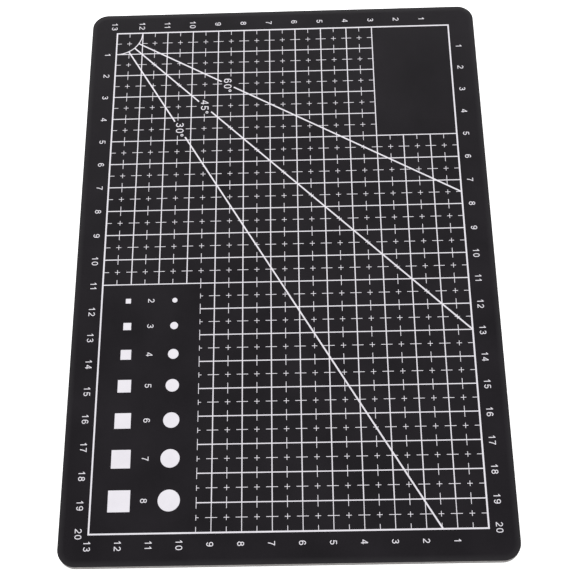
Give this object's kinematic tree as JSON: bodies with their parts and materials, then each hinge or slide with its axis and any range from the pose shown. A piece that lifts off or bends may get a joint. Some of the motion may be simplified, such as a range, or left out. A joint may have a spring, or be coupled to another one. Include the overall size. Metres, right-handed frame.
{
  "type": "cutting mat",
  "caption": "Flat self-healing cutting mat with rounded corners, dark skins over a light core, and a printed centimetre grid with angle guide lines and a size chart.",
  "frame": {"origin": "centre of the underside, on the surface the mat lies on", "axes": "+Z up, out of the printed face; +Y along the long side, towards the end with the corner arc; +X is up for a reader of the numerals"},
  "size_m": [0.15, 0.2196, 0.003],
  "materials": {
    "skin": "fine matte grain, self-healing flexible PVC",
    "core": "plain cut edge of stiff PVC",
    "ink": "matte screen-print ink"
  },
  "bodies": {
    "root": {"top_skin": "skin", "core_sheet": "core", "bottom_skin": "skin", "frame_border": "ink", "centimetre_grid": "ink", "half_centimetre_dashes": "ink", "half_centimetre_crosses": "ink", "corner_arc": "ink", "guide_line_30": "ink", "guide_line_45": "ink", "guide_line_60": "ink", "label_30_degrees": "ink", "label_45_degrees": "ink", "label_60_degrees": "ink", "numerals_top": "ink", "numerals_bottom": "ink", "numerals_left": "ink", "numerals_right": "ink", "size_squares": "ink", "size_discs": "ink", "size_numerals": "ink"}
  },
  "joints": []
}
